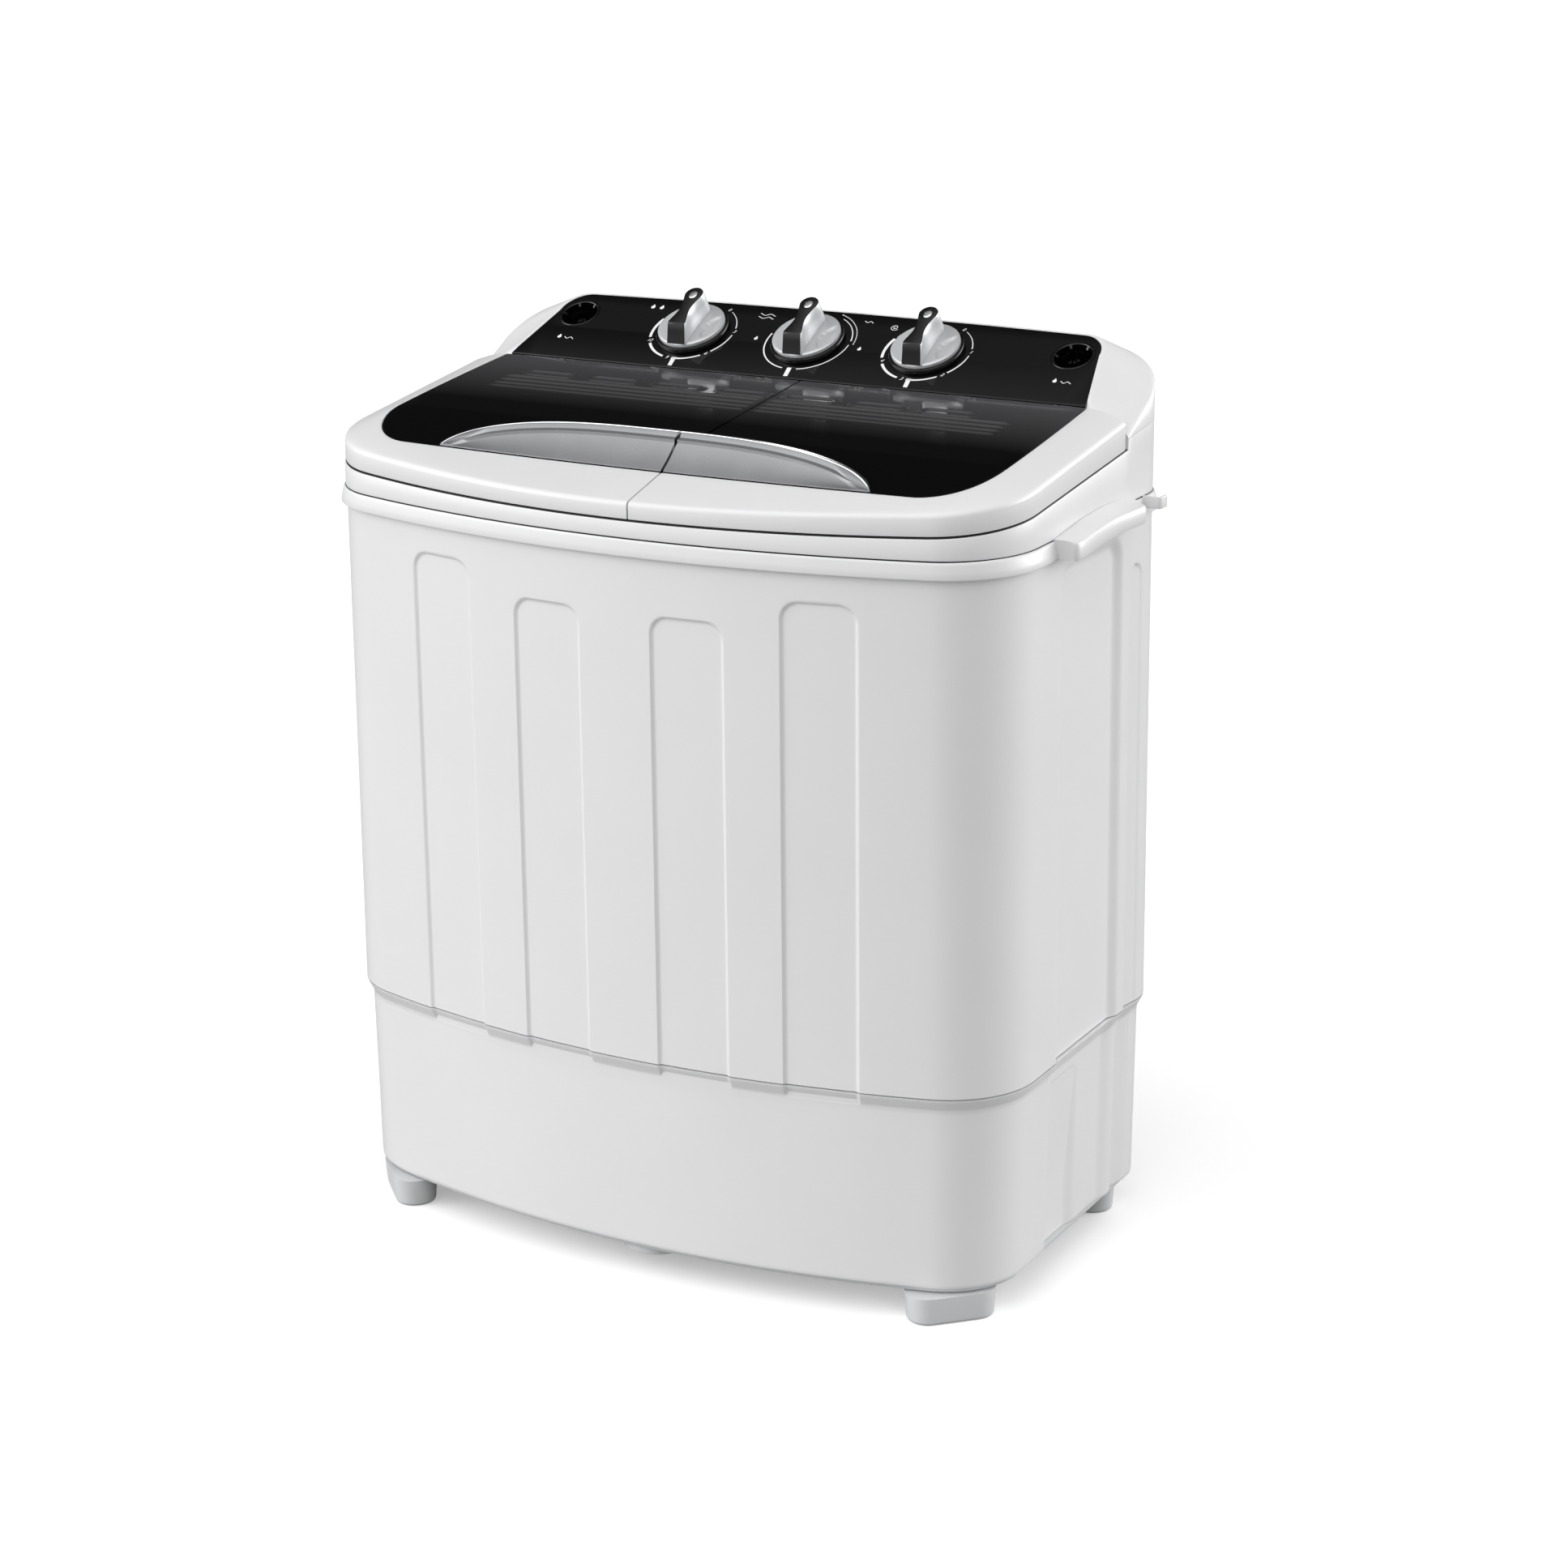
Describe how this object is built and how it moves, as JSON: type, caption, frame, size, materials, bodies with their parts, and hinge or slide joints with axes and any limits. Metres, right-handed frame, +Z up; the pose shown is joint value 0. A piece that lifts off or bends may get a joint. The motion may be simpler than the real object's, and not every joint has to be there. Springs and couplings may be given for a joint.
{
  "type": "twin tub washer",
  "caption": "Compact twin tub washer with a wash tub, a spin dryer, hinged lids and a sloping console with turning dials.",
  "frame": {"origin": "centre of the footprint box on the floor", "axes": "+X to the right seen from the front, +Y to the back, +Z up; the dials and lid pulls face -Y"},
  "size_m": [0.605, 0.345, 0.698],
  "materials": {
    "white_plastic": "satin gloss",
    "grey_plastic": "matte",
    "black_gloss": "polished",
    "silver_trim": "metallic satin",
    "tub_plastic": "satin",
    "steel": "brushed",
    "cast_housing": "painted",
    "rubber": "matte",
    "filter_mesh": "woven",
    "switch_plastic": "matte"
  },
  "bodies": {
    "cabinet": {"casing": "white_plastic", "rear_cover": "white_plastic", "base_skirt": "white_plastic", "rim_band": "white_plastic", "side_handle_right": "white_plastic", "side_handle_left": "white_plastic", "hose_hook": "white_plastic", "top_deck": "white_plastic", "console_shell": "white_plastic", "bottom_plate": "grey_plastic", "foot_front_left": "grey_plastic", "foot_rear_left": "grey_plastic", "foot_front_right": "grey_plastic", "foot_rear_right": "grey_plastic", "drain_valve_box": "grey_plastic", "drain_outlet": "grey_plastic", "control_panel": "black_gloss", "water_inlet_left": "black_gloss", "water_inlet_right": "black_gloss", "wash_timer_body": "switch_plastic", "selector_body": "switch_plastic", "spin_timer_body": "switch_plastic", "wash_tub": "tub_plastic", "spin_outer_tub": "tub_plastic", "wash_lid_hinge_bracket": "steel", "spin_lid_hinge_bracket": "steel", "wash_motor": "steel", "spin_motor": "steel", "brake_post": "steel", "bearing_housing": "cast_housing", "drive_belt": "rubber", "cord_gland": "rubber", "lint_filter": "filter_mesh"},
    "wash_lid": {"wash_lid_frame": "white_plastic", "wash_lid_window": "black_gloss", "wash_lid_grip": "silver_trim", "wash_lid_hinge_rod": "steel"},
    "spin_lid": {"spin_lid_frame": "white_plastic", "spin_lid_window": "black_gloss", "spin_lid_grip": "silver_trim", "spin_lid_hinge_rod": "steel"},
    "wash_timer_dial": {"wash_timer_skirt": "black_gloss", "wash_timer_disc": "silver_trim", "wash_timer_grip": "black_gloss"},
    "selector_dial": {"selector_skirt": "black_gloss", "selector_disc": "silver_trim", "selector_grip": "black_gloss"},
    "spin_timer_dial": {"spin_timer_skirt": "black_gloss", "spin_timer_disc": "silver_trim", "spin_timer_grip": "black_gloss"},
    "pulsator_drive": {"pulsator": "tub_plastic", "driven_pulley": "steel"},
    "motor_pulley": {"motor_pulley": "steel"},
    "spin_drive": {"spin_basket": "tub_plastic", "spin_shaft": "steel"},
    "brake": {"brake_arm": "steel"},
    "drain_valve": {"drain_plunger": "rubber"}
  },
  "joints": [
    {"name": "wash_lid_hinge", "type": "hinge", "parent": "cabinet", "child": "wash_lid", "pos_m": [-0.12, 0.0785, 0.63206], "axis": [-1, 0, 0], "range_deg": [0, 100]},
    {"name": "spin_lid_hinge", "type": "hinge", "parent": "cabinet", "child": "spin_lid", "pos_m": [0.13, 0.0785, 0.63206], "axis": [-1, 0, 0], "range_deg": [0, 100]},
    {"name": "wash_timer_turn", "type": "hinge", "parent": "cabinet", "child": "wash_timer_dial", "pos_m": [-0.105, 0.1285, 0.66256], "axis": [0, -0.4586, 0.8887], "range_deg": [-330, 0]},
    {"name": "selector_turn", "type": "hinge", "parent": "cabinet", "child": "selector_dial", "pos_m": [-0.003, 0.1285, 0.66256], "axis": [0, -0.4586, 0.8887], "range_deg": [-90, 0]},
    {"name": "spin_timer_turn", "type": "hinge", "parent": "cabinet", "child": "spin_timer_dial", "pos_m": [0.099, 0.1285, 0.66256], "axis": [0, -0.4586, 0.8887], "range_deg": [-330, 0]},
    {"name": "pulsator_spin", "type": "hinge", "parent": "cabinet", "child": "pulsator_drive", "pos_m": [-0.134, -0.01, 0.2], "axis": [0, 0, 1], "continuous": true},
    {"name": "motor_pulley_spin", "type": "hinge", "parent": "cabinet", "child": "motor_pulley", "pos_m": [-0.012, 0.068, 0.15], "axis": [0, 0, 1], "continuous": true},
    {"name": "basket_spin", "type": "hinge", "parent": "cabinet", "child": "spin_drive", "pos_m": [0.146, -0.02, 0.2], "axis": [0, 0, 1], "continuous": true},
    {"name": "brake_swing", "type": "hinge", "parent": "cabinet", "child": "brake", "pos_m": [0.186, -0.066, 0.16], "axis": [0, 0, 1], "range_deg": [-4, 0]},
    {"name": "drain_lift", "type": "slide", "parent": "cabinet", "child": "drain_valve", "axis": [0, 0, 1], "range_m": [0, 0.012]}
  ],
  "couplings": [
    {"joint": "motor_pulley_spin", "follows": "pulsator_spin", "ratio": 3.3333},
    {"joint": "drain_lift", "follows": "selector_turn", "m_per_rad": -0.007632},
    {"joint": "brake_swing", "follows": "spin_lid_hinge", "ratio": -0.0399}
  ]
}
